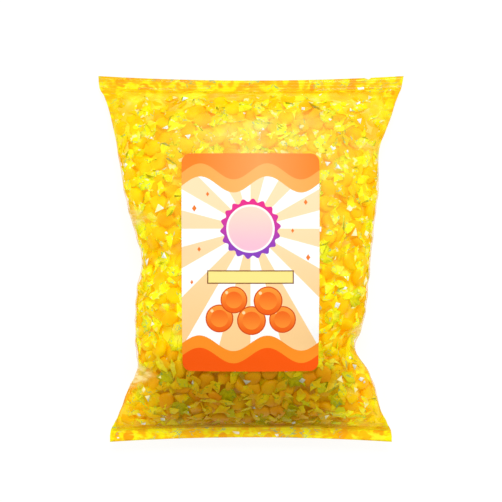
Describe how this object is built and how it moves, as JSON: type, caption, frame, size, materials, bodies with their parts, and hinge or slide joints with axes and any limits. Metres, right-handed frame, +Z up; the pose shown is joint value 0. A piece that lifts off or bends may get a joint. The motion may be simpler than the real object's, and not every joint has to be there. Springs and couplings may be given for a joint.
{
  "type": "bag of butterscotch candies",
  "caption": "Sealed clear pillow bag packed with twist-wrapped butterscotch discs, with a rounded paper label on its front, lying on its back.",
  "frame": {"origin": "on the floor, under the middle of the bag's bounding box", "axes": "+Z up, out of the front with the label; +Y towards the top seal; +X to the right as the front is seen"},
  "size_m": [0.31, 0.37, 0.1035],
  "materials": {
    "bag": "glossy clear film over yellow wrappers and amber butterscotch",
    "label": "satin printed paper in orange and cream"
  },
  "bodies": {
    "root": {"bag": "bag", "label": "label"}
  },
  "joints": []
}
